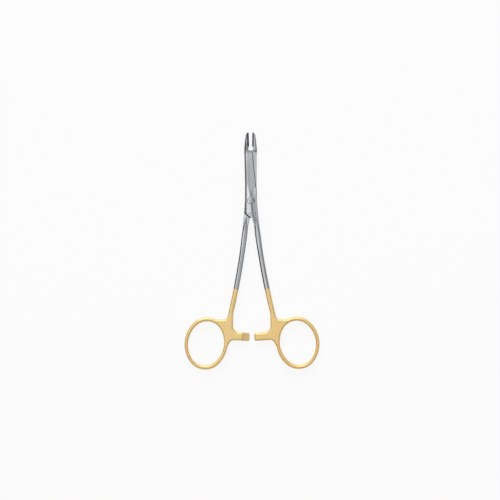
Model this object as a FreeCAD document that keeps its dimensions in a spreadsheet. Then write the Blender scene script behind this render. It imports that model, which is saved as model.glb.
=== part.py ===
import FreeCAD, Part
import Sketcher
import math
import os

# Surgical needle holder with scissor blades, in millimetres.
# It lies on its back: the pivot axis is Z, the jaws point along +Y and the
# rings along -Y. Each half is drawn as it stands with the jaws closed, with
# the pivot at the sketch origin and the plane between the halves at height 0.

V = FreeCAD.Vector
ROTATION = FreeCAD.Rotation

DIMENSIONS = (
    ("rest_half_angle", 1.5),
    ("joint_thickness", 5.0),
    ("lap_gap", 0.06),
    ("shoulder_gap", 0.5),
    ("jaw_reach", 40.3),
    ("jaw_tip_width", 1.5),
    ("jaw_tip_thickness", 2.3),
    ("jaw_tip_bevel", 0.4),
    ("jaw_tip_ridge", -0.8),
    ("jaw_face_width", 1.0),
    ("jaw_middle_at", 35.5),
    ("jaw_middle_width", 2.37),
    ("jaw_middle_thickness", 3.1),
    ("jaw_middle_bevel", 0.6),
    ("jaw_middle_ridge", -1.4),
    ("jaw_root_at", 30.2),
    ("jaw_root_width", 2.95),
    ("jaw_root_thickness", 3.8),
    ("jaw_root_bevel", 0.85),
    ("blade_middle_at", 18.0),
    ("blade_root_at", 9.5),
    ("blade_width", 3.07),
    ("blade_thickness", 4.3),
    ("blade_flare", 0.1),
    ("side_bevel", 1.0),
    ("bevel_steepness", 0.72),
    ("spine_width", 0.35),
    ("blade_face_drop", 0.75),
    ("boss_at", 2.1),
    ("boss_width", 3.47),
    ("boss_length", 4.0),
    ("boss_flare", 0.15),
    ("boss_ridge", -0.3),
    ("boss_face_width", 1.05),
    ("boss_face_drop", 0.42),
    ("boss_side_drop", 0.9),
    ("heel_at", -6.9),
    ("heel_width", 3.82),
    ("heel_ridge", 0.1),
    ("run_out_at", -15.0),
    ("run_out_thickness", 3.2),
    ("run_out_flare", 0.1),
    ("run_out_middle_ridge", 0.8),
    ("run_out_ridge", 1.9),
    ("run_out_face_drop", 0.1),
    ("run_out_side_drop", 0.2),
    ("cut_tip_at", 29.3),
    ("cut_tip_width", 1.35),
    ("cut_root_at", 8.0),
    ("cut_root_width", 2.88),
    ("jaw_relief", 0.12),
    ("edge_bevel", 0.5),
    ("edge_land", 0.2),
    ("notch_depth", 0.75),
    ("notch_at", 30.2),
    ("notch_floor_width", 0.5),
    ("notch_floor_fall", 0.3),
    ("waist_at", 1.5),
    ("waist_inset", 0.22),
    ("edge_allowance", 0.02),
    ("jaw_step_rise", 0.15),
    ("jaw_step_fall", 1.8),
    ("lap_corner_at", 0.4),
    ("lap_corner_rise", 0.3),
    ("lap_side_rise", 1.5),
    ("tip_round_start", 0.3),
    ("tip_round_middle", 0.85),
    ("tip_round_end", 2.2),
    ("tip_round_outset", 0.42),
    ("insert_length", 8.1),
    ("insert_thickness", 1.0),
    ("insert_gap", 0.06),
    ("insert_height_gap", 0.05),
    ("insert_nose_length", 0.5),
    ("insert_nose_break", 0.1),
    ("insert_nose_fall", 0.35),
    ("insert_nose_height", 0.8),
    ("serration_pitch", 0.55),
    ("serration_depth", 0.16),
    ("serration_share", 0.84),
    ("heel_side_rise", 1.9),
    ("crotch_at", -9.3),
    ("crotch_reach", 1.0),
    ("crotch_bend_at", 0.25),
    ("crotch_bend_fall", 0.9),
    ("crotch_side_at", 0.5),
    ("crotch_side_fall", 1.3),
    ("crotch_side_trim", 0.1),
    ("shank_top_at", -4.0),
    ("shank_top_edge", 3.68),
    ("shank_slope", 0.058),
    ("shank_bow", 4.75),
    ("shank_end_at", -66.0),
    ("shank_width", 3.1),
    ("shank_thickness", 3.6),
    ("shank_bevel", 0.75),
    ("shank_ridge_from_edge", 1.25),
    ("shank_ridge_height", 0.12),
    ("shank_root_bevel", 0.6),
    ("shank_root_inset", 0.05),
    ("shank_sink_length", 5.0),
    ("shank_sink_depth", 0.3),
    ("shank_sink_bevel", 0.45),
    ("shank_sink_inset", 0.6),
    ("root_overlap", 2.0),
    ("root_outer_inset", 0.4),
    ("root_inner_inset", 0.6),
    ("handle_thickness", 3.3),
    ("handle_bevel", 0.7),
    ("handle_edge_break", 0.24),
    ("ring_x", 24.9),
    ("ring_y", -84.75),
    ("ring_outer_width", 25.55),
    ("ring_outer_height", 30.9),
    ("ring_outer_tilt", 4.4),
    ("ring_side_band", 2.22),
    ("ring_end_band", 2.35),
    ("ring_hole_tilt", 8.4),
    ("ring_end_share", 0.87),
    ("arm_top_at", -77.45),
    ("arm_top_fall", 0.7),
    ("arm_bottom_at", -82.5),
    ("arm_bottom_fall", 0.3),
    ("arm_crossing", 0.7),
    ("arm_inner_edge", 9.1),
    ("arm_lap", 4.2),
    ("arm_gap", 0.1),
    ("inner_edge_fall", 3.5),
    ("root_top_bearing", 92.0),
    ("root_side_bearing", 150.0),
    ("arm_side_bearing", 207.0),
    ("outer_crook_fall", 1.1),
    ("outer_crook_outset", 0.1),
    ("lower_crook_reach", 2.0),
    ("top_blend_at", 8.5),
    ("top_blend_fall", 0.8),
    ("side_blend_at", 0.4),
    ("side_blend_fall", 18.0),
    ("inner_crook_radius", 3.7),
    ("outer_crook_radius", 2.4),
    ("lower_crook_radius", 2.6),
    ("ring_blend_radius", 6.4),
    ("arm_end_radius", 1.05),
    ("tooth_pitch", 0.8),
    ("tooth_depth", 0.3),
    ("tooth_slope_share", 1.2),
    ("tooth_count", 3),
    ("screw_head_diameter", 4.4),
    ("screw_head_height", 1.1),
    ("screw_head_crown", 0.35),
    ("screw_shank_diameter", 2.6),
    ("screw_end_chamfer", 0.15),
    ("screw_running_gap", 0.03),
    ("screw_head_gap", 0.04),
    ("slot_width", 0.9),
    ("slot_depth", 0.6),
    ("slot_angle", -43.0),
)

# How far the outlines of cuts reach past the metal, how long a cutter of the
# serrations is, how near an edge stands to the point that it is picked by, and
# where sections stand along the shank, as shares.
MARGIN = 1.0
GROOVE_RUN = 120.0
SNAP = 0.01
BLEND_REACH = 1.8
SHANK_SHARES = (0, 0.2, 0.4, 0.6, 0.8, 0.92)

document = FreeCAD.newDocument("NeedleHolder")
sheet = document.addObject("Spreadsheet::Sheet", "Sizes")
for row, (alias, value) in enumerate(DIMENSIONS, start=1):
    sheet.set(f"A{row}", alias)
    sheet.set(f"B{row}", str(value))
    sheet.setAlias(f"B{row}", alias)
document.recompute()


def size(alias):
    return float(sheet.get(alias))


def new_body(label):
    body = document.addObject("PartDesign::Body", label)
    body.Label = label
    return body


def new_sketch(body, name, role, height=0.0):
    """An empty sketch on one of the body's own origin planes, or parallel to it."""
    sketch = body.newObject("Sketcher::SketchObject", name)
    plane = [item for item in body.Origin.OriginFeatures if item.Role == role][0]
    sketch.AttachmentSupport = [(plane, "")]
    sketch.MapMode = "FlatFace"
    sketch.AttachmentOffset = FreeCAD.Placement(V(0, 0, height), ROTATION())
    return sketch


def add_outline(sketch, points, arcs=None):
    """A closed outline through the points; arcs gives the middle of each side that is one."""
    first = sketch.GeometryCount
    count = len(points)
    for index in range(count):
        start = V(*points[index], 0)
        end = V(*points[(index + 1) % count], 0)
        if arcs and index in arcs:
            sketch.addGeometry(Part.Arc(start, V(*arcs[index], 0), end), False)
        else:
            sketch.addGeometry(Part.LineSegment(start, end), False)
    for index in range(count):
        join_ends(sketch, first + index, first + (index + 1) % count)


def join_ends(sketch, one, other):
    """Tie together the ends at which two sides of an outline meet."""
    for end in (2, 1):
        for start in (1, 2):
            if (sketch.getPoint(one, end) - sketch.getPoint(other, start)).Length < 1e-6:
                sketch.addConstraint(Sketcher.Constraint("Coincident", one, end, other, start))
                return


def add_oval(sketch, centre, width, height, tilt):
    """An oval of four tangent arcs whose height leans back from +Y by the tilt."""
    wide = width / 2
    high = height / 2
    end_radius = wide * size("ring_end_share")
    side_radius = (wide ** 2 + high ** 2 - 2 * high * end_radius) / (2 * (wide - end_radius))
    lean = math.radians(tilt)
    right = V(math.cos(lean), math.sin(lean), 0) * (side_radius - wide)
    up = V(-math.sin(lean), math.cos(lean), 0) * (high - end_radius)
    meet = math.atan2(high - end_radius, side_radius - wide)
    arcs = (
        (centre - right, side_radius, -meet, meet),
        (centre + up, end_radius, meet, math.pi - meet),
        (centre + right, side_radius, math.pi - meet, math.pi + meet),
        (centre - up, end_radius, math.pi + meet, 2 * math.pi - meet),
    )
    for middle, radius, start, end in arcs:
        circle = Part.Circle(middle, V(0, 0, 1), radius)
        sketch.addGeometry(Part.ArcOfCircle(circle, lean + start, lean + end), False)
    for index in range(len(arcs)):
        join_ends(sketch, index, (index + 1) % len(arcs))


def pad_both_ways(body, name, sketch, expression):
    pad = body.newObject("PartDesign::Pad", name)
    pad.Profile = sketch
    pad.SideType = "Symmetric"
    pad.setExpression("Length", expression)
    document.recompute()
    check_state(pad)


def cut_through(body, name, sketch):
    """Cut the sketch right through the body, both ways from its plane."""
    before = body.Shape.Volume
    pocket = body.newObject("PartDesign::Pocket", name)
    pocket.Profile = sketch
    pocket.SideType = "Symmetric"
    pocket.setExpression("Length", "Sizes.joint_thickness * 4")
    document.recompute()
    check_cut(body, name, before)


def cut_down(body, name, sketch, expression):
    """Cut from the sketch's plane towards the side that its normal points away from."""
    before = body.Shape.Volume
    pocket = body.newObject("PartDesign::Pocket", name)
    pocket.Profile = sketch
    pocket.setExpression("Length", expression)
    document.recompute()
    check_cut(body, name, before)


def check_cut(body, name, before):
    check_state(body.Tip)
    if body.Shape.Volume >= before:
        raise RuntimeError(name + " removes nothing")


def check_state(feature):
    if "Invalid" in feature.State or "Error" in feature.State:
        raise RuntimeError(f"{feature.Label} failed: {feature.State}")


def loft_through(body, name, sketches, ruled=False):
    loft = body.newObject("PartDesign::AdditiveLoft", name)
    loft.Profile = sketches[0]
    loft.Sections = sketches[1:]
    loft.Ruled = ruled
    document.recompute()
    check_state(loft)


def add_circle(sketch, expression):
    """A circle about the sketch's origin with its radius bound to the sheet."""
    sketch.addGeometry(Part.Circle(V(0, 0, 0), V(0, 0, 1), 1), False)
    sketch.addConstraint(Sketcher.Constraint("Coincident", 0, 3, -1, 1))
    sketch.addConstraint(Sketcher.Constraint("Radius", 0, 1))
    sketch.setExpression("Constraints[1]", expression)


def edge_names(shape, test):
    return [f"Edge{index}" for index, edge in enumerate(shape.Edges, start=1) if test(edge)]


def fillet_edges(body, name, edges, expression):
    base = body.Tip
    fillet = body.newObject("PartDesign::Fillet", name)
    fillet.Base = (base, edges)
    fillet.setExpression("Radius", expression)
    document.recompute()
    check_state(fillet)


def chamfer_edges(body, name, edges, expression):
    base = body.Tip
    chamfer = body.newObject("PartDesign::Chamfer", name)
    chamfer.Base = (base, edges)
    chamfer.setExpression("Size", expression)
    document.recompute()
    check_state(chamfer)


def stands_near(point, reach=SNAP):
    """A test for the upright edges within a reach of a point of the plan."""
    def test(edge):
        box = edge.BoundBox
        upright = box.XLength < 1e-3 and box.YLength < 1e-3 and box.ZLength > 0.1
        return upright and math.hypot(box.XMin - point[0], box.YMin - point[1]) < reach
    return test


def lies_at_height(height):
    """A test for the edges that lie flat at a height, above or below the middle plane."""
    def test(edge):
        box = edge.BoundBox
        return box.ZLength < 1e-3 and abs(abs(box.ZMin) - height) < 1e-3
    return test


def shank_edge(along):
    """The outer edge of the shank: it leaves the joint at a slope and bows outwards."""
    distance = size("shank_top_at") - along
    bow = size("shank_bow") * (distance / (size("shank_top_at") - size("shank_end_at"))) ** 2
    return size("shank_top_edge") + size("shank_slope") * distance + bow


def shank_section(left, right, thickness, bevel):
    """A bar section, as across and up: bevelled corners, and a low ridge along each face."""
    half = thickness / 2
    shoulder = half - size("shank_ridge_height")
    side = shoulder - bevel * size("bevel_steepness")
    ridge = right - size("shank_ridge_from_edge")
    return (
        (left, -side), (left + bevel, -shoulder), (ridge, -half), (right - bevel, -shoulder), (right, -side),
        (right, side), (right - bevel, shoulder), (ridge, half), (left + bevel, shoulder), (left, side),
    )


def band_point(centre, bearing):
    """The middle of the ring's band, as seen from its centre at a bearing from +X."""
    wide = (size("ring_outer_width") - size("ring_side_band")) / 2
    high = (size("ring_outer_height") - size("ring_end_band")) / 2
    turn = math.radians(bearing)
    reach = 1 / math.hypot(math.cos(turn) / wide, math.sin(turn) / high)
    return centre.x + reach * math.cos(turn), centre.y + reach * math.sin(turn)


def add_handle(body):
    """The finger ring, its root on the shank and the ratchet arm, forged in one."""
    centre = V(size("ring_x"), size("ring_y"), 0)
    outer_width = size("ring_outer_width")
    outer_height = size("ring_outer_height")
    ring = new_sketch(body, "ring_outline", "XY_Plane")
    add_oval(ring, centre, outer_width, outer_height, size("ring_outer_tilt"))
    pad_both_ways(body, "ring", ring, "Sizes.handle_thickness")

    root_at = size("shank_end_at") + size("root_overlap")
    outer = shank_edge(root_at) - size("root_outer_inset")
    inner = shank_edge(root_at) - size("shank_width") + size("root_inner_inset")
    arm_end = -size("arm_crossing")
    arm_top = size("arm_top_at")
    arm_bottom = size("arm_bottom_at")
    end_top = (arm_end, arm_top - size("arm_top_fall"))
    end_bottom = (arm_end, arm_bottom - size("arm_bottom_fall"))
    ring_top = centre.y + outer_height / 2
    ring_left = centre.x - outer_width / 2
    crook_at = ring_top - size("outer_crook_fall")
    outset = size("outer_crook_outset")
    crook_outer = (shank_edge(crook_at + outset) + outset, crook_at)
    crook_inner = (size("arm_inner_edge"), arm_top)
    crook_below = (ring_left - size("lower_crook_reach"), arm_bottom)
    root = new_sketch(body, "root_outline", "XY_Plane")
    add_outline(root, (
        (inner, root_at), (outer, root_at), crook_outer,
        band_point(centre, size("root_top_bearing")), band_point(centre, size("root_side_bearing")),
        band_point(centre, size("arm_side_bearing")), crook_below, end_bottom, end_top, crook_inner,
        (size("arm_inner_edge"), ring_top - size("inner_edge_fall")),
    ))
    pad_both_ways(body, "root_and_arm", root, "Sizes.handle_thickness")

    hole = new_sketch(body, "finger_hole_outline", "XY_Plane")
    hole_width = outer_width - 2 * size("ring_side_band")
    hole_height = outer_height - 2 * size("ring_end_band")
    add_oval(hole, centre, hole_width, hole_height, size("ring_hole_tilt"))
    cut_through(body, "finger_hole", hole)

    crooks = (("inner_crook", crook_inner), ("outer_crook", crook_outer), ("lower_crook", crook_below))
    for name, corner in crooks:
        edges = edge_names(body.Shape, stands_near(corner))
        fillet_edges(body, name, edges, f"Sizes.{name}_radius")
    top_blend = (ring_left + size("top_blend_at"), ring_top - size("top_blend_fall"))
    side_blend = (ring_left + size("side_blend_at"), ring_top - size("side_blend_fall"))
    blends = edge_names(body.Shape, stands_near(top_blend, BLEND_REACH))
    blends += edge_names(body.Shape, stands_near(side_blend, BLEND_REACH))
    fillet_edges(body, "ring_blends", blends, "Sizes.ring_blend_radius")
    ends = edge_names(body.Shape, stands_near(end_bottom)) + edge_names(body.Shape, stands_near(end_top))
    fillet_edges(body, "arm_end_corners", ends, "Sizes.arm_end_radius")
    top = size("handle_thickness") / 2
    rims = edge_names(body.Shape, lies_at_height(top))
    chamfer_edges(body, "handle_edges", rims, "Sizes.handle_bevel")
    breaks = edge_names(body.Shape, lies_at_height(top))
    breaks += edge_names(body.Shape, lies_at_height(top - size("handle_bevel")))
    chamfer_edges(body, "handle_edge_breaks", breaks, "Sizes.handle_edge_break")


def add_shank(body):
    """The bevelled shank, lofted from the joint down into the root of the ring."""
    top = size("shank_top_at")
    end = size("shank_end_at")
    width = size("shank_width")
    thickness = size("shank_thickness")
    bevel = size("shank_bevel")
    handle = size("handle_thickness")
    stations = [(top + (end - top) * share, thickness, bevel, 0) for share in SHANK_SHARES]
    stations.append((end, handle, size("shank_root_bevel"), size("shank_root_inset")))
    stations.append((end - size("shank_sink_length"), handle - 2 * size("shank_sink_depth"),
                     size("shank_sink_bevel"), size("shank_sink_inset")))
    sections = []
    for index, (along, thick, cut, inset) in enumerate(stations):
        section = new_sketch(body, f"shank_section_{index}", "XZ_Plane", -along)
        edge = shank_edge(along) - inset
        add_outline(section, shank_section(edge - width + 2 * inset, edge, thick, cut))
        sections.append(section)
    loft_through(body, "shank", sections)


def blade_stations():
    """Where along the half, width outside the pivot line, thickness, bevel of the outer side,
    ridge, the face beyond the ridge as its width and its drop, and the drop beyond it."""
    side = size("side_bevel")
    joint = size("joint_thickness")
    jaw_face = size("jaw_face_width")
    blade_width = size("blade_width")
    blade_ridge = side + size("spine_width") - blade_width
    blade_face = size("cut_root_width") - blade_ridge
    drop = size("blade_face_drop")
    boss = (size("boss_ridge"), size("boss_face_width"), size("boss_face_drop"), size("boss_side_drop"))
    boss_face = size("boss_face_width")
    boss_at = size("boss_at")
    boss_width = size("boss_width")
    heel_at = size("heel_at")
    heel_width = size("heel_width")
    flare = size("run_out_flare")
    run_out_at = size("run_out_at")
    run_out = size("run_out_thickness")
    return (
        (size("jaw_reach"), size("jaw_tip_width"), size("jaw_tip_thickness"), size("jaw_tip_bevel"),
         size("jaw_tip_ridge"), jaw_face, 0, 0),
        (size("jaw_middle_at"), size("jaw_middle_width"), size("jaw_middle_thickness"),
         size("jaw_middle_bevel"), size("jaw_middle_ridge"), jaw_face, 0, 0),
        (size("jaw_root_at"), size("jaw_root_width"), size("jaw_root_thickness"), size("jaw_root_bevel"),
         blade_ridge, blade_face, drop / 2, drop / 2),
        (size("blade_middle_at"), blade_width, size("blade_thickness"), side,
         blade_ridge, blade_face, drop, drop),
        (size("blade_root_at"), blade_width + size("blade_flare"), (size("blade_thickness") + joint) / 2,
         side, blade_ridge, blade_face, drop, drop),
        (boss_at, boss_width, joint, side, *boss),
        (boss_at - size("boss_length"), boss_width + size("boss_flare"), joint, side, *boss),
        (heel_at, heel_width, joint, side, size("heel_ridge"), *boss[1:]),
        ((heel_at * 2 + run_out_at) / 3, heel_width + flare, (joint * 2 + run_out) / 3, side,
         size("run_out_middle_ridge"), boss_face, size("boss_face_drop") / 2, size("boss_side_drop") / 2),
        (run_out_at, heel_width + 2 * flare, run_out, side, size("run_out_ridge"), boss_face,
         size("run_out_face_drop"), size("run_out_side_drop")),
    )


def add_blade_and_jaw(body):
    """Jaw, scissor blade and joint boss in one loft, oversize on the inner side.

    Each section has a bevelled outer side, a flat spine and a face that falls
    from the ridge to the inner side. The spine widens into the boss.
    """
    inner = size("boss_width") + size("side_bevel") + MARGIN
    sections = []
    for index, (along, width, thickness, bevel, ridge, face, drop, low) in enumerate(blade_stations()):
        half = thickness / 2
        side = half - bevel * size("bevel_steepness")
        section = new_sketch(body, f"blade_section_{index}", "XZ_Plane", -along)
        add_outline(section, (
            (-width, -side), (bevel - width, -half), (ridge, -half), (ridge + face, drop - half),
            (inner, low - half), (inner, half - low), (ridge + face, half - drop), (ridge, half),
            (bevel - width, half), (-width, side),
        ))
        sections.append(section)
    loft_through(body, "blade_and_jaw", sections, ruled=True)


def trim_plan(body):
    """Cut the plan outline: closing face, notch, cutting edge, and the heel over the crotch."""
    beyond = size("jaw_reach") + MARGIN
    below = size("run_out_at") - MARGIN
    outside = size("boss_width") + 4 * MARGIN
    relief = size("jaw_relief")
    notch = size("notch_depth")
    allowance = size("edge_allowance")
    top_at = size("shank_top_at")
    top_edge = shank_edge(top_at)
    face = new_sketch(body, "inner_outline", "XY_Plane")
    add_outline(face, (
        (-relief, beyond), (-relief, size("jaw_reach") - size("insert_length")), (-notch, size("notch_at")),
        (size("notch_floor_width") - notch, size("notch_at") - size("notch_floor_fall")),
        (size("cut_tip_width"), size("cut_tip_at")), (size("cut_root_width"), size("cut_root_at")),
        (top_edge - size("waist_inset"), size("waist_at")), (top_edge + allowance, top_at),
        (shank_edge(below) + allowance, below), (outside, below), (outside, beyond),
    ))
    cut_through(body, "inner_trim", face)

    left = size("heel_width")
    heel_at = size("heel_at")
    crotch = size("crotch_at")
    shank_inner = shank_edge(below) - size("shank_width") + size("crotch_side_trim")
    heel = new_sketch(body, "heel_outline", "XY_Plane")
    add_outline(heel, (
        (-left - 2 * MARGIN, heel_at + size("heel_side_rise")), (-left, heel_at),
        (-size("crotch_reach"), crotch), (size("crotch_bend_at"), crotch - size("crotch_bend_fall")),
        (size("crotch_side_at"), crotch - size("crotch_side_fall")), (shank_inner, below),
        (-left - 2 * MARGIN, below),
    ))
    cut_through(body, "heel_trim", heel)


def cut_lap(body):
    """Halve the thickness where the other half's blade and boss lie over this one."""
    gap = size("shoulder_gap")
    left = size("heel_width")
    heel_at = size("heel_at")
    crotch = size("crotch_at")
    reach = size("crotch_reach")
    slope = math.atan2(heel_at - crotch, left - reach)
    drop = gap / math.cos(slope)
    run = math.tan(slope)
    jaw_step = size("cut_tip_at") + size("jaw_step_rise")
    notch_at = size("notch_at")
    lap = new_sketch(body, "lap_outline", "XY_Plane", size("lap_gap") / 2)
    add_outline(lap, (
        (-left - 2 * MARGIN, jaw_step - size("jaw_step_fall")), (-size("cut_tip_width") - gap, jaw_step),
        (-size("lap_corner_at"), notch_at + size("lap_corner_rise")),
        (left + 2 * MARGIN, notch_at + size("lap_side_rise")),
        (left + 2 * MARGIN, heel_at + 2 * MARGIN * run - drop),
        (-left, crotch - (left + reach) * run - drop), (-left - 2 * MARGIN, crotch - 2 * MARGIN),
    ))
    cut_down(body, "lap", lap, "Sizes.joint_thickness")


def bevel_cutting_edge(body):
    """Grind the steep bevel that ends in the cutting edge, on the lap's plane."""
    tip = V(size("cut_tip_width"), size("cut_tip_at"), 0)
    root = V(size("cut_root_width"), size("cut_root_at"), 0)
    lean = math.degrees(math.atan2(root.x - tip.x, tip.y - root.y))
    edge = new_sketch(body, "edge_bevel_outline", "XZ_Plane")
    place = FreeCAD.Placement(V(root.x, 0, -root.y), ROTATION(V(0, 1, 0), -lean))
    edge.AttachmentOffset = place
    high = size("joint_thickness") / 2
    low = size("lap_gap") / 2 + size("edge_land")
    run = size("edge_bevel") * (high - low) / size("blade_thickness") * 2
    past = 0.3 * MARGIN
    add_outline(edge, ((past, low), (past, high), (-run, high), (0, low)))
    cut_down(body, "edge_bevel", edge, f"Sizes.cut_tip_at - Sizes.cut_root_at + {3 * MARGIN}")


def shape_jaw_tip(body):
    """Round the outer corner of the tip and cut the seat of the insert."""
    reach = size("jaw_reach")
    depth = size("insert_thickness")
    tip_width = size("jaw_tip_width")
    outside = size("jaw_middle_width") + MARGIN
    round_start = (-depth, reach - size("tip_round_start"))
    round_middle = (size("edge_allowance") - tip_width, reach - size("tip_round_middle"))
    round_end = (-tip_width - size("tip_round_outset"), reach - size("tip_round_end"))
    tip = new_sketch(body, "tip_outline", "XY_Plane")
    add_outline(tip, (
        round_start, round_end, (-outside, round_end[1]), (-outside, reach + MARGIN),
        (-depth, reach + MARGIN),
    ), {0: round_middle})
    cut_through(body, "tip_rounding", tip)

    seat = new_sketch(body, "insert_seat_outline", "XY_Plane")
    root = reach - size("insert_length")
    add_outline(seat, ((-depth, root), (MARGIN, root), (MARGIN, reach + MARGIN), (-depth, reach + MARGIN)))
    cut_through(body, "insert_seat", seat)


def cut_ratchet(body):
    """Halve the arm in thickness and cut the saw teeth that catch the other arm."""
    past = 1.5 * MARGIN
    gap = size("arm_gap")
    bottom = size("arm_bottom_at") - size("arm_bottom_fall") - past
    top = size("arm_top_at") + past
    end = -size("arm_crossing")
    lap_end = end + size("arm_lap")
    lap = new_sketch(body, "arm_lap_outline", "XY_Plane", gap / 2)
    add_outline(lap, ((end - past, bottom), (lap_end, bottom), (lap_end, top), (end - past, top)))
    cut_down(body, "arm_lap_cut", lap, "Sizes.handle_thickness")

    before = body.Shape.Volume
    slope_end = end + size("tooth_pitch") * size("tooth_slope_share")
    tooth = new_sketch(body, "tooth_outline", "XZ_Plane", -bottom)
    add_outline(tooth, ((end, -gap / 2), (slope_end, -gap / 2), (end, gap / 2 + size("tooth_depth"))))
    groove = body.newObject("PartDesign::Pocket", "tooth_groove")
    groove.Profile = tooth
    across = "Sizes.arm_top_at - Sizes.arm_bottom_at + Sizes.arm_bottom_fall"
    groove.setExpression("Length", f"{across} + {2 * past}")
    document.recompute()
    pattern = body.newObject("PartDesign::LinearPattern", "tooth_grooves")
    pattern.Originals = [groove]
    pattern.Direction = (tooth, ["H_Axis"])
    pattern.setExpression("Length", "Sizes.tooth_pitch * Sizes.tooth_count")
    pattern.setExpression("Occurrences", "Sizes.tooth_count + 1")
    body.Tip = pattern
    document.recompute()
    check_cut(body, "tooth_grooves", before)


def bore_for_screw(body, clearance, with_head):
    """The screw's hole, and in the front half the seat of its head."""
    bore = new_sketch(body, "screw_bore_outline", "XY_Plane")
    add_circle(bore, f"Sizes.screw_shank_diameter / 2 + {clearance}")
    cut_through(body, "screw_bore", bore)
    if with_head:
        seat = new_sketch(body, "head_seat_outline", "XY_Plane", size("joint_thickness") / 2)
        add_circle(seat, "Sizes.screw_head_diameter / 2 + Sizes.screw_head_gap")
        cut_down(body, "head_seat", seat, "Sizes.screw_head_height + Sizes.screw_head_gap")


def build_half(label, screw_clearance, with_head):
    body = new_body(label)
    add_handle(body)
    add_shank(body)
    add_blade_and_jaw(body)
    trim_plan(body)
    cut_lap(body)
    bevel_cutting_edge(body)
    shape_jaw_tip(body)
    cut_ratchet(body)
    bore_for_screw(body, screw_clearance, with_head)
    return body


def build_insert(label):
    """A tungsten-carbide jaw face with serrations crossing at right angles."""
    body = new_body(label)
    reach = size("jaw_reach")
    root = reach - size("insert_length")
    face_at = -size("insert_gap") / 2
    rise = (size("jaw_root_thickness") - size("jaw_tip_thickness")) / (reach - size("jaw_root_at"))
    tip_half = size("jaw_tip_thickness") / 2
    root_half = tip_half + rise * size("insert_length") / 2 - size("insert_height_gap")
    nose_at = reach - size("insert_nose_length")
    break_at = reach - size("insert_nose_break")
    break_half = tip_half - size("insert_nose_fall")
    nose_half = tip_half - size("insert_nose_height")
    side = new_sketch(body, "insert_side", "YZ_Plane", face_at)
    add_outline(side, (
        (root, -root_half), (nose_at, -tip_half), (break_at, -break_half), (reach, -nose_half),
        (reach, nose_half), (break_at, break_half), (nose_at, tip_half), (root, root_half),
    ))
    block = body.newObject("PartDesign::Pad", "block")
    block.Profile = side
    block.Reversed = True
    block.setExpression("Length", "Sizes.insert_thickness - Sizes.insert_gap / 2")
    document.recompute()
    cut_serrations(body, "serrations_rising", 45, face_at)
    cut_serrations(body, "serrations_falling", -45, face_at)
    return body


def cut_serrations(body, name, lean, face_at):
    """A row of V grooves across the face, all at one lean to the jaw."""
    before = body.Shape.Volume
    pitch = size("serration_pitch")
    depth = size("serration_depth")
    reach = size("jaw_reach")
    middle = reach - size("insert_length") / 2
    across = (size("insert_length") + size("jaw_root_thickness")) / math.sqrt(2)
    count = int(across / pitch)
    start = -pitch * (count - 1) / 2
    outline = new_sketch(body, name + "_outline", "XZ_Plane")
    outline.AttachmentOffset = FreeCAD.Placement(V(0, 0, -middle), ROTATION(V(1, 0, 0), lean))
    half = pitch * size("serration_share") / 2
    mouth = face_at + size("edge_allowance")
    add_outline(outline, ((mouth, start - half), (mouth, start + half), (face_at - depth, start)))
    groove = body.newObject("PartDesign::Pocket", name + "_groove")
    groove.Profile = outline
    groove.SideType = "Symmetric"
    groove.Length = GROOVE_RUN
    document.recompute()
    pattern = body.newObject("PartDesign::LinearPattern", name)
    pattern.Originals = [groove]
    pattern.Direction = (outline, ["V_Axis"])
    pattern.Length = pitch * (count - 1)
    pattern.Occurrences = count
    body.Tip = pattern
    document.recompute()
    check_cut(body, name, before)


def build_screw(label):
    """The slotted pivot screw, turned in one with its head."""
    body = new_body(label)
    half = size("joint_thickness") / 2
    head = size("screw_head_diameter") / 2
    stem = size("screw_shank_diameter") / 2
    under_head = half - size("screw_head_height")
    crown = size("screw_head_crown")
    end_chamfer = size("screw_end_chamfer")
    crown_middle = (head * 0.55, half - crown * 0.3)
    profile = new_sketch(body, "screw_profile", "XZ_Plane")
    add_outline(profile, (
        (0, -half), (stem - end_chamfer, -half), (stem, end_chamfer - half), (stem, under_head),
        (head, under_head), (head, half - crown), (0, half),
    ), {5: crown_middle})
    turned = body.newObject("PartDesign::Revolution", "turned")
    turned.Profile = profile
    turned.ReferenceAxis = (profile, ["V_Axis"])
    turned.Angle = 360
    document.recompute()
    slot = new_sketch(body, "slot_outline", "XY_Plane", half)
    slot.AttachmentOffset = FreeCAD.Placement(V(0, 0, half), ROTATION(V(0, 0, 1), size("slot_angle")))
    wide = size("slot_width") / 2
    long = head + MARGIN
    add_outline(slot, ((-long, -wide), (long, -wide), (long, wide), (-long, wide)))
    cut_down(body, "slot", slot, "Sizes.slot_depth")
    return body


def check_document():
    for item in document.Objects:
        check_state(item)


def write_part(body):
    shape = body.Shape
    if shape.isNull() or not shape.isValid() or len(shape.Solids) != 1:
        raise RuntimeError(body.Label + " is not one valid solid")
    shape.exportStep(f"parts/{body.Label}.step")


rest_angle = size("rest_half_angle")
middle_height = V(0, 0, size("joint_thickness") / 2)
turned_over = ROTATION(V(0, 1, 0), 180)
front_place = FreeCAD.Placement(middle_height, ROTATION(V(0, 0, 1), rest_angle))
rear_place = FreeCAD.Placement(middle_height, ROTATION(V(0, 0, 1), -rest_angle).multiply(turned_over))

front_half = build_half("front_half", "Sizes.screw_running_gap", True)
front_insert = build_insert("front_jaw_insert")
rear_half = build_half("rear_half", "0", False)
rear_insert = build_insert("rear_jaw_insert")
pivot_screw = build_screw("pivot_screw")
front_half.Placement = front_place
front_insert.Placement = front_place
rear_half.Placement = rear_place
rear_insert.Placement = rear_place
pivot_screw.Placement = FreeCAD.Placement(middle_height, ROTATION())
document.recompute()

check_document()
os.makedirs("parts", exist_ok=True)
for part in (front_half, front_insert, rear_half, rear_insert, pivot_screw):
    write_part(part)
    box = part.Shape.BoundBox
    extent = f"{box.XLength:.1f} x {box.YLength:.1f} x {box.ZLength:.1f} mm"
    print(f"{part.Label}: {part.Shape.Volume:.1f} mm3, {extent}")
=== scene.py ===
import math

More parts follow.
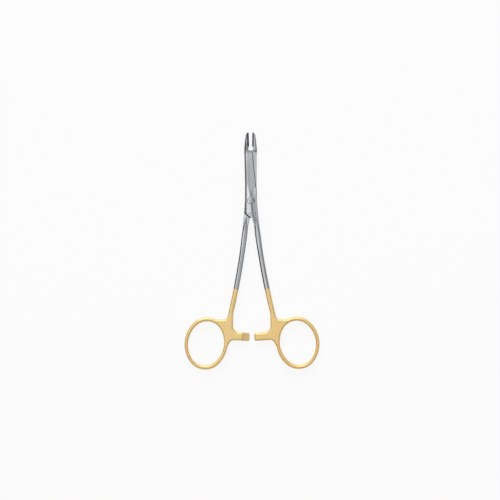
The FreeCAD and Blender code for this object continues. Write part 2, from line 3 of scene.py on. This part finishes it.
import bpy
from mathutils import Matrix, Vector


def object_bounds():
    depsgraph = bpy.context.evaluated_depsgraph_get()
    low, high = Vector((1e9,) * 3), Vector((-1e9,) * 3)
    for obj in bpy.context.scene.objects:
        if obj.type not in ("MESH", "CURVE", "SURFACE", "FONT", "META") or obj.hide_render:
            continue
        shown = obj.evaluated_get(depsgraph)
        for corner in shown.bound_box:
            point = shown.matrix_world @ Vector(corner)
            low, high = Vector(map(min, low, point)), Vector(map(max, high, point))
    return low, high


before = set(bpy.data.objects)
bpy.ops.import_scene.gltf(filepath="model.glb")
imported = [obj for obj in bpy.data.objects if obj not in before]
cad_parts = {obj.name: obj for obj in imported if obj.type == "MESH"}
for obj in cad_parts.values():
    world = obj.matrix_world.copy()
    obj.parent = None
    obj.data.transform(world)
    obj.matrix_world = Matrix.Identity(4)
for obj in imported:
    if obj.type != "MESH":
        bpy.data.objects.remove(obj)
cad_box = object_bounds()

MM = 0.001

# The picture's frame, and where the pivot lies in it, from its middle.
FRAME_WIDTH = 294.75 * MM
PIVOT_RIGHT = 0.57 * MM
PIVOT_UP = 29.06 * MM
CAMERA_ROLL = math.radians(-0.4)
CAMERA_HEIGHT = 1.5
CAMERA_NEAR = 0.05
SENSOR_WIDTH = 36.0

JOINT_THICKNESS = 5.0 * MM

# Gold plating starts here on each shank, across a line square to the shank.
GOLD_LINE_SIDE = 14.3 * MM
GOLD_LINE_ALONG = -50.9 * MM
GOLD_LINE_WAVER = 0.25 * MM
SHANK_LEAN = math.radians(13.5)

# The screw's slot points this far down from +X.
SLOT_LEAN = math.radians(43)

# How many times each pattern repeats in a metre along each axis, and its detail.
GOLD_LINE_PATTERN = ((900, 900, 900), 3.0)
GRINDING_PATTERN = ((5200, 240, 5200), 2.0)
GRAIN_PATTERN = ((2600, 2600, 2600), 3.0)
CLOUD_PATTERN = ((55, 30, 55), 4.0)
STREAK_PATTERN = ((1500, 45, 1500), 3.0)
CARBIDE_GRAIN_PATTERN = ((9000, 9000, 9000), 3.0)
CARBIDE_CLOUD_PATTERN = ((700, 300, 700), 3.0)
SCRATCH_PATTERN = ((700, 4200, 700), 4.0)
PATTERN_ROUGHNESS = 0.55
TURNING_RINGS = {"Scale": 1300.0, "Distortion": 1.5, "Detail": 2.0, "Detail Scale": 3.0}

# Where each share goes from 0 to 1, or between the third and the fourth value.
GOLD_LINE_FADE = (0.2 * MM, 0.05 * MM)
GROUND_AND_LIT_FROM = (1 * MM, 7 * MM)
GROUND_AND_LIT_LEFT_OF = (0.3 * MM, -0.4 * MM)
GROUND_AND_LIT_BELOW = (31 * MM, 29 * MM)
JAW_TINT_FROM = (27.0 * MM, 30.5 * MM)
JAW_TINT_FADE = (33.0 * MM, 35.5 * MM, 1.0, 0.55)
LEFT_FACING = (-0.5, -0.75)
SCREW_SEAT = (3.2 * MM, 2.5 * MM)
# The screw slot's rims are darkened by grime and a painted shadow.
SLOT_RIM_FROM = (0.40 * MM, 0.50 * MM)
SLOT_RIM_TO = (0.95 * MM, 0.65 * MM)
# Where the painted shade on the screw head's right half begins.
SCREW_RIGHT_SHADE_FROM = (-0.9 * MM, 0.3 * MM)
EDGE_WEAR = (0.999, 0.93)
OPEN_SKY = (0.45, 0.95)
STEEL_TONE = (0.35, 0.65)
GOLD_TONE = (0.3, 0.7)
SCREW_TONE = (0.35, 0.7)

STEEL_COLOUR = (0.60, 0.61, 0.62, 1)
STEEL_SHADE = (0.47, 0.48, 0.495, 1)
# Brighter steel of the front blade and boss: partly its ground finish, partly painted light.
GROUND_AND_LIT_COLOUR = (0.80, 0.805, 0.815, 1)
GROUND_AND_LIT_SHADE = (0.62, 0.63, 0.645, 1)
GOLD_COLOUR = (1.0, 0.73, 0.32, 1)
GOLD_SHADE = (1.0, 0.68, 0.28, 1)
TINT_COLOUR = (0.20, 0.19, 0.205, 1)
# Painted shade on steep steel surfaces that face left.
LEFT_SHADE_COLOUR = (0.20, 0.20, 0.21, 1)
# Grime and painted shade in gaps, and along the screw slot's rims.
GRIME_AND_SHADE_COLOUR = (0.045, 0.045, 0.045, 1)
# The front insert's carbide is painted darker than the rear's, as painted shade.
FRONT_CARBIDE_SHADED_COLOUR = (0.010, 0.010, 0.011, 1)
FRONT_CARBIDE_SHADED_PALE = (0.02, 0.02, 0.021, 1)
REAR_CARBIDE_COLOUR = (0.075, 0.078, 0.082, 1)
REAR_CARBIDE_PALE = (0.13, 0.132, 0.136, 1)
CARBIDE_WORN_COLOUR = (0.2, 0.2, 0.2, 1)
SCREW_COLOUR = (0.84, 0.85, 0.86, 1)
SCREW_SHADE = (0.64, 0.65, 0.66, 1)
# Painted shade on the screw head's right half.
SCREW_RIGHT_SHADE = (0.42, 0.425, 0.435, 1)
PAPER_COLOUR = (0.93, 0.93, 0.93, 1)
WHITE = (1, 1, 1, 1)

# How much of one thing goes into another.
CLOUD_SHARE = 0.4
STREAK_SHARE = 0.6
LEFT_SHADE_SHARE = 0.75
# The front half's jaw is darkened more than the rear's.
JAW_TINT_SHARE = {1: 0.8, -1: 0.3}
# How far the plating and the screw's seat lift the grime and painted shade in gaps.
GOLD_UNDARKENED_SHARE = 0.9
SEAT_UNDARKENED_SHARE = 0.6
GRINDING_RELIEF_SHARE = 0.7
GRAIN_RELIEF_SHARE = 0.3
RING_RELIEF_SHARE = 0.6
SCRATCH_RELIEF_SHARE = 0.4
CARBIDE_WORN_SHARE = 0.3
# Grime and a painted shadow along the screw slot's rims.
SLOT_GRIME_AND_SHADOW_SHARE = 0.75
FLOOR_LIT_SHARE = 0.88

# Roughness: a base, what patterns and plating add to it, and what wear takes away.
STEEL_ROUGHNESS = 0.20
GRAIN_ROUGHNESS = 0.12
CLOUD_ROUGHNESS = 0.06
GOLD_ROUGHNESS = 0.12
STEEL_WEAR = 0.06
CARBIDE_ROUGHNESS = 0.36
CARBIDE_GRAIN_ROUGHNESS = 0.25
SCREW_ROUGHNESS = 0.2
SCRATCH_ROUGHNESS = 0.15
SCREW_WEAR = 0.05

# What plating takes off the metallic share of 1, and the share that carbide has.
GOLD_METAL_LOSS = 0.5
CARBIDE_METAL = 0.85

# Edges are rounded by these radii, gaps are darkened by grime and painted shade within
# this reach, and both are found with this many samples.
STEEL_EDGE_RADIUS = 0.12 * MM
GOLD_EDGE_GAIN = 0.5 * MM
CARBIDE_EDGE_RADIUS = 0.04 * MM
SCREW_EDGE_RADIUS = 0.12 * MM
GRIME_AND_SHADE_REACH = 1.2 * MM
EDGE_SAMPLES = 6
GRIME_AND_SHADE_SAMPLES = 8

# Depth and strength of the fine relief.
STEEL_RELIEF = (0.006 * MM, 0.5)
CARBIDE_RELIEF = (0.01 * MM, 0.4)
SCREW_RELIEF = (0.004 * MM, 0.5)

# The studio is brightest towards the glow, with a core in it, and a weaker light stands low
# on the right. Both ends are lit softly. Each has the range of cosines over which it rises,
# and its strength before and after.
GLOW_DIRECTION = Vector((-0.30, 0.15, 1.0))
GLOW_RISE = (0.50, 0.90, 0.04, 0.64)
CORE_RISE = (0.87, 0.98, 0.0, 0.58)
FILL_DIRECTION = Vector((0.95, -0.1, 0.3))
FILL_RISE = (0.60, 0.97, 0.0, 0.38)
LENGTHWAYS = Vector((0, 1, 0))
ENDS_RISE = (0.40, 0.85, 0.0, 0.34)
SKY_COLOUR = (0.97, 0.98, 1.0, 1)

SOFTBOX_PLACE = Vector((-0.1, 1.2, 0.75))
SOFTBOX_AIM = Vector((0, -0.03, 0))
SOFTBOX_SIZE = 0.9
SOFTBOX_POWER = 11.0
FLOOR_SIZE = 6.0


def set_input(tree, socket, value):
    """Links a value that is a socket, and sets any other."""
    if isinstance(value, bpy.types.NodeSocket):
        tree.links.new(value, socket)
    else:
        socket.default_value = value


def add_node(tree, kind, inputs=None, **settings):
    """Adds a node with its settings and its inputs."""
    node = tree.nodes.new(kind)
    for key, value in settings.items():
        setattr(node, key, value)
    for key, value in (inputs or {}).items():
        set_input(tree, node.inputs[key], value)
    return node


def new_tree(name):
    """A new material and its emptied node tree."""
    material = bpy.data.materials.new(name)
    material.use_nodes = True
    material.node_tree.nodes.clear()
    return material, material.node_tree


def finish_tree(tree, shader):
    """Links the shader to the material's output."""
    add_node(tree, "ShaderNodeOutputMaterial", {"Surface": shader})


def texture_place(tree, output):
    """One output of the texture coordinates."""
    return add_node(tree, "ShaderNodeTexCoord").outputs[output]


def pattern(tree, kind):
    """Noise from 0 to 1, of one of the patterns above."""
    repeats, detail = kind
    place = texture_place(tree, "Object")
    scaled = add_node(tree, "ShaderNodeMapping", {"Vector": place, "Scale": repeats})
    return add_node(tree, "ShaderNodeTexNoise", {
        "Vector": scaled.outputs["Vector"], "Scale": 1.0,
        "Detail": detail, "Roughness": PATTERN_ROUGHNESS,
    }).outputs["Fac"]


def ramp(tree, value, low, high, low_value=0.0, high_value=1.0):
    """Maps low..high to low_value..high_value, smoothly, and holds the ends."""
    return add_node(tree, "ShaderNodeMapRange", {
        "Value": value, "From Min": low, "From Max": high, "To Min": low_value, "To Max": high_value,
    }, interpolation_type="SMOOTHSTEP").outputs["Result"]


def math_node(tree, operation, first, second=0.0):
    """One arithmetic step on two values."""
    return add_node(tree, "ShaderNodeMath", {0: first, 1: second}, operation=operation).outputs[0]


def plus(tree, first, second):
    """The sum of two values."""
    return math_node(tree, "ADD", first, second)


def minus(tree, first, second):
    """The difference of two values."""
    return math_node(tree, "SUBTRACT", first, second)


def times(tree, first, second):
    """The product of two values."""
    return math_node(tree, "MULTIPLY", first, second)


def larger(tree, first, second):
    """The larger of two values."""
    return math_node(tree, "MAXIMUM", first, second)


def dot(tree, first, second):
    """The dot product of two vectors."""
    node = add_node(tree, "ShaderNodeVectorMath", {0: first, 1: second}, operation="DOT_PRODUCT")
    return node.outputs["Value"]


def mix_colour(tree, share, first, second):
    """Mixes two colours, each given as a colour or a socket."""
    node = add_node(tree, "ShaderNodeMix", {"Factor": share}, data_type="RGBA")
    set_input(tree, node.inputs[6], first)
    set_input(tree, node.inputs[7], second)
    return node.outputs[2]


def soft_edges(tree, radius):
    """The surface's normal with its edges rounded by a radius."""
    bevel = add_node(tree, "ShaderNodeBevel", {"Radius": radius}, samples=EDGE_SAMPLES)
    return bevel.outputs["Normal"]


def edge_wear(tree, rounded):
    """A value that rises to 1 on the edges, where handling has polished them."""
    true_normal = add_node(tree, "ShaderNodeNewGeometry").outputs["True Normal"]
    return ramp(tree, dot(tree, rounded, true_normal), *EDGE_WEAR)


def open_share(tree):
    """1 on open surfaces, falling to 0 deep in gaps, where grime and painted shade darken the colour."""
    sky = add_node(tree, "ShaderNodeAmbientOcclusion", {"Distance": GRIME_AND_SHADE_REACH}, samples=GRIME_AND_SHADE_SAMPLES)
    return ramp(tree, sky.outputs["AO"], *OPEN_SKY)


def bump(tree, height, normal, relief):
    """Fine relief on top of a normal."""
    depth, strength = relief
    return add_node(tree, "ShaderNodeBump", {
        "Height": height, "Normal": normal, "Distance": depth, "Strength": strength,
    }).outputs["Normal"]


def gold_share(tree, side):
    """1 on the plated part of a half and 0 on its bare steel; side is the shank's side."""
    along = Vector((-side * math.sin(SHANK_LEAN), math.cos(SHANK_LEAN), 0))
    start = Vector((side * GOLD_LINE_SIDE, GOLD_LINE_ALONG, 0))
    distance = dot(tree, texture_place(tree, "Object"), tuple(along))
    beyond = minus(tree, distance, along.dot(start))
    waver = times(tree, pattern(tree, GOLD_LINE_PATTERN), GOLD_LINE_WAVER)
    return ramp(tree, plus(tree, beyond, waver), *GOLD_LINE_FADE)


def plan_place(tree):
    """How far a point lies across and along the instrument from the pivot."""
    place = texture_place(tree, "Object")
    parts = add_node(tree, "ShaderNodeSeparateXYZ", {"Vector": place}).outputs
    return parts["X"], parts["Y"]


def ground_and_lit_share(tree):
    """1 on the front half's blade and on the left of its boss, which are brighter, partly for their ground
    finish and partly as painted light.
    """
    across, along = plan_place(tree)
    blade = ramp(tree, along, *GROUND_AND_LIT_FROM)
    boss = ramp(tree, across, *GROUND_AND_LIT_LEFT_OF)
    return times(tree, larger(tree, blade, boss), ramp(tree, along, *GROUND_AND_LIT_BELOW))


def jaw_tint(tree):
    """1 on the jaw, and most at its root, where the steel is painted darker."""
    along = plan_place(tree)[1]
    return times(tree, ramp(tree, along, *JAW_TINT_FROM), ramp(tree, along, *JAW_TINT_FADE))


def left_facing_shade(tree):
    """1 on steep surfaces that face left, which are painted darker as painted shade."""
    normal = texture_place(tree, "Normal")
    parts = add_node(tree, "ShaderNodeSeparateXYZ", {"Vector": normal}).outputs
    return ramp(tree, parts["X"], *LEFT_FACING)


def screw_seat(tree):
    """1 close around the pivot screw, where the grime and painted shade in gaps are lifted."""
    across, along = plan_place(tree)
    squares = plus(tree, times(tree, across, across), times(tree, along, along))
    return ramp(tree, math_node(tree, "SQRT", squares), *SCREW_SEAT)


def steel_colour(tree, side, clouds):
    """Bare steel with its stains: brighter on the blade and the left of the boss, partly ground finish and
    partly painted light, darker on left-facing sides as painted shade, and darker at the jaw.
    """
    streaks = pattern(tree, STREAK_PATTERN)
    tone = plus(tree, times(tree, clouds, CLOUD_SHARE), times(tree, streaks, STREAK_SHARE))
    shade = ramp(tree, tone, *STEEL_TONE)
    steel = mix_colour(tree, shade, STEEL_COLOUR, STEEL_SHADE)
    if side > 0:
        # Brighter on the blade and the left of the boss: partly ground finish, partly painted light.
        ground = mix_colour(tree, shade, GROUND_AND_LIT_COLOUR, GROUND_AND_LIT_SHADE)
        steel = mix_colour(tree, ground_and_lit_share(tree), steel, ground)
        # Painted shade on surfaces that face left.
        steel = mix_colour(tree, times(tree, left_facing_shade(tree), LEFT_SHADE_SHARE), steel, LEFT_SHADE_COLOUR)
    return mix_colour(tree, times(tree, jaw_tint(tree), JAW_TINT_SHARE[side]), steel, TINT_COLOUR)


def half_colour(tree, side, gold, clouds):
    """Steel, plated with gold on the handle, with grime and painted shade in the gaps."""
    plated = mix_colour(tree, ramp(tree, clouds, *GOLD_TONE), GOLD_COLOUR, GOLD_SHADE)
    metal = mix_colour(tree, gold, steel_colour(tree, side, clouds), plated)
    # Gaps darkened by grime and painted shade, less so on the plating and around the screw.
    open_or_plated = larger(tree, open_share(tree), times(tree, gold, GOLD_UNDARKENED_SHARE))
    undarkened = larger(tree, open_or_plated, times(tree, screw_seat(tree), SEAT_UNDARKENED_SHARE))
    return mix_colour(tree, undarkened, GRIME_AND_SHADE_COLOUR, metal)


def half_roughness(tree, gold, clouds, grain, worn):
    """Satin, a little duller on the plating and smoother on worn edges."""
    satin = plus(tree, times(tree, grain, GRAIN_ROUGHNESS), STEEL_ROUGHNESS)
    varied = plus(tree, satin, times(tree, clouds, CLOUD_ROUGHNESS))
    plated = plus(tree, varied, times(tree, gold, GOLD_ROUGHNESS))
    return minus(tree, plated, times(tree, worn, STEEL_WEAR))


def half_material(name, side):
    """Satin steel, gold-plated on the handle, with grinding lines, stains and polished edges."""
    material, tree = new_tree(name)
    lines = pattern(tree, GRINDING_PATTERN)
    grain = pattern(tree, GRAIN_PATTERN)
    clouds = pattern(tree, CLOUD_PATTERN)
    gold = gold_share(tree, side)
    radius = plus(tree, times(tree, gold, GOLD_EDGE_GAIN), STEEL_EDGE_RADIUS)
    rounded = soft_edges(tree, radius)
    worn = edge_wear(tree, rounded)
    relief = plus(tree, times(tree, lines, GRINDING_RELIEF_SHARE), times(tree, grain, GRAIN_RELIEF_SHARE))
    shader = add_node(tree, "ShaderNodeBsdfPrincipled", {
        "Base Color": half_colour(tree, side, gold, clouds),
        "Metallic": minus(tree, 1.0, times(tree, gold, GOLD_METAL_LOSS)),
        "Roughness": half_roughness(tree, gold, clouds, grain, worn),
        "Normal": bump(tree, relief, rounded, STEEL_RELIEF),
    })
    finish_tree(tree, shader.outputs["BSDF"])
    return material


def carbide_material(name, dull_colour, pale_colour):
    """Matt dark carbide, sintered and ground."""
    material, tree = new_tree(name)
    grain = pattern(tree, CARBIDE_GRAIN_PATTERN)
    clouds = pattern(tree, CARBIDE_CLOUD_PATTERN)
    rounded = soft_edges(tree, CARBIDE_EDGE_RADIUS)
    worn = times(tree, edge_wear(tree, rounded), CARBIDE_WORN_SHARE)
    dull = mix_colour(tree, clouds, dull_colour, pale_colour)
    shader = add_node(tree, "ShaderNodeBsdfPrincipled", {
        "Base Color": mix_colour(tree, worn, dull, CARBIDE_WORN_COLOUR),
        "Metallic": CARBIDE_METAL,
        "Roughness": plus(tree, times(tree, grain, CARBIDE_GRAIN_ROUGHNESS), CARBIDE_ROUGHNESS),
        "Normal": bump(tree, grain, rounded, CARBIDE_RELIEF),
    })
    finish_tree(tree, shader.outputs["BSDF"])
    return material


def turning_rings(tree):
    """Fine rings around the screw's axis, left by turning."""
    inputs = {"Vector": texture_place(tree, "Object"), **TURNING_RINGS}
    wave = add_node(tree, "ShaderNodeTexWave", inputs, wave_type="RINGS", rings_direction="Z")
    return wave.outputs["Fac"]


def screw_colour(tree, scratches):
    """Polished steel, darkened along the slot's rims by grime and a painted shadow, and painted darker on
    the right as painted shade.
    """
    scratched = mix_colour(tree, ramp(tree, scratches, *SCREW_TONE), SCREW_COLOUR, SCREW_SHADE)
    across, along = plan_place(tree)
    slantwise = plus(tree, times(tree, across, math.sin(SLOT_LEAN)),
                     times(tree, along, math.cos(SLOT_LEAN)))
    off_slot = math_node(tree, "ABSOLUTE", slantwise)
    rim = times(tree, ramp(tree, off_slot, *SLOT_RIM_FROM), ramp(tree, off_slot, *SLOT_RIM_TO))
    # Grime and a painted shadow along the slot's rims.
    soiled_and_shadowed = mix_colour(tree, times(tree, rim, SLOT_GRIME_AND_SHADOW_SHARE), scratched, GRIME_AND_SHADE_COLOUR)
    # The screw head's right half is painted darker, as painted shade.
    return mix_colour(tree, ramp(tree, across, *SCREW_RIGHT_SHADE_FROM), soiled_and_shadowed, SCREW_RIGHT_SHADE)


def screw_material():
    """Turned and polished screw steel, with rings left by turning and a few driver marks."""
    material, tree = new_tree("turned_screw_steel")
    rings = turning_rings(tree)
    scratches = pattern(tree, SCRATCH_PATTERN)
    rounded = soft_edges(tree, SCREW_EDGE_RADIUS)
    worn = edge_wear(tree, rounded)
    base = plus(tree, times(tree, scratches, SCRATCH_ROUGHNESS), SCREW_ROUGHNESS)
    relief = plus(tree, times(tree, rings, RING_RELIEF_SHARE), times(tree, scratches, SCRATCH_RELIEF_SHARE))
    shader = add_node(tree, "ShaderNodeBsdfPrincipled", {
        "Base Color": screw_colour(tree, scratches),
        "Metallic": 1.0,
        "Roughness": minus(tree, base, times(tree, worn, SCREW_WEAR)),
        "Normal": bump(tree, relief, rounded, SCREW_RELIEF),
    })
    finish_tree(tree, shader.outputs["BSDF"])
    return material


def paint(name, material):
    """Gives a CAD node its material, in its own material slot."""
    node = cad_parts[name]
    if not node.material_slots:
        node.data.materials.append(material)
    node.material_slots[0].material = material


def white_surface(name):
    """A white stage surface that glows by a share, and shows the object's shadow by the rest."""
    material, tree = new_tree(name)
    path = add_node(tree, "ShaderNodeLightPath").outputs
    mirrored = larger(tree, path["Is Glossy Ray"], path["Is Transmission Ray"])
    seen = larger(tree, path["Is Camera Ray"], mirrored)
    paper = add_node(tree, "ShaderNodeBsdfDiffuse", {"Color": PAPER_COLOUR})
    glow = add_node(tree, "ShaderNodeEmission", {"Color": WHITE, "Strength": 1.0})
    mixed = add_node(tree, "ShaderNodeMixShader", {
        0: times(tree, seen, FLOOR_LIT_SHARE), 1: paper.outputs["BSDF"], 2: glow.outputs["Emission"],
    })
    finish_tree(tree, mixed.outputs["Shader"])
    return material


def add_floor():
    """A wide pale floor at the height the instrument lies on."""
    bpy.ops.mesh.primitive_plane_add(size=FLOOR_SIZE, location=(0, 0, cad_box[0][2]))
    floor = bpy.context.object
    floor.name = "floor"
    floor.data.materials.append(white_surface("white_floor"))


def add_softbox():
    """A square area lamp that stands beyond the jaws and faces the object's middle."""
    light = bpy.data.lights.new("key", "AREA")
    light.size = SOFTBOX_SIZE
    light.energy = SOFTBOX_POWER
    lamp = bpy.data.objects.new("key", light)
    lamp.location = SOFTBOX_PLACE
    lamp.rotation_euler = (SOFTBOX_AIM - SOFTBOX_PLACE).to_track_quat("-Z", "Y").to_euler()
    bpy.context.collection.objects.link(lamp)


def add_sky():
    """A soft studio: brightest near overhead, dimmer at both ends and on the right, else dark."""
    world = bpy.data.worlds.new("studio")
    bpy.context.scene.world = world
    world.use_nodes = True
    tree = world.node_tree
    tree.nodes.clear()
    direction = texture_place(tree, "Generated")
    towards_glow = dot(tree, direction, tuple(GLOW_DIRECTION.normalized()))
    towards_fill = dot(tree, direction, tuple(FILL_DIRECTION.normalized()))
    towards_end = math_node(tree, "ABSOLUTE", dot(tree, direction, tuple(LENGTHWAYS)))
    overhead = plus(tree, ramp(tree, towards_glow, *GLOW_RISE), ramp(tree, towards_glow, *CORE_RISE))
    around = plus(tree, ramp(tree, towards_fill, *FILL_RISE), ramp(tree, towards_end, *ENDS_RISE))
    sky = add_node(tree, "ShaderNodeBackground", {
        "Color": SKY_COLOUR, "Strength": plus(tree, overhead, around),
    })
    add_node(tree, "ShaderNodeOutputWorld", {"Surface": sky.outputs["Background"]})


def add_camera():
    """A long lens straight above, at the picture's frame and turn."""
    camera = bpy.data.cameras.new("camera")
    camera.sensor_width = SENSOR_WIDTH
    camera.lens = SENSOR_WIDTH * CAMERA_HEIGHT / FRAME_WIDTH
    camera.clip_start = CAMERA_NEAR
    holder = bpy.data.objects.new("camera", camera)
    right = Vector((math.cos(CAMERA_ROLL), math.sin(CAMERA_ROLL), 0))
    up = Vector((-math.sin(CAMERA_ROLL), math.cos(CAMERA_ROLL), 0))
    middle = -(right * PIVOT_RIGHT + up * PIVOT_UP)
    holder.location = middle + Vector((0, 0, JOINT_THICKNESS + CAMERA_HEIGHT))
    holder.rotation_euler = (0, 0, CAMERA_ROLL)
    bpy.context.collection.objects.link(holder)
    bpy.context.scene.camera = holder


paint("front_half", half_material("front_half_metal", 1))
paint("rear_half", half_material("rear_half_metal", -1))
# The front insert is painted darker than the rear one, as painted shade.
paint("front_jaw_insert", carbide_material("front_carbide_painted_shade", FRONT_CARBIDE_SHADED_COLOUR, FRONT_CARBIDE_SHADED_PALE))
paint("rear_jaw_insert", carbide_material("rear_carbide", REAR_CARBIDE_COLOUR, REAR_CARBIDE_PALE))
paint("pivot_screw", screw_material())
add_floor()
add_sky()
add_softbox()
add_camera()
bpy.context.scene.view_settings.view_transform = "Standard"
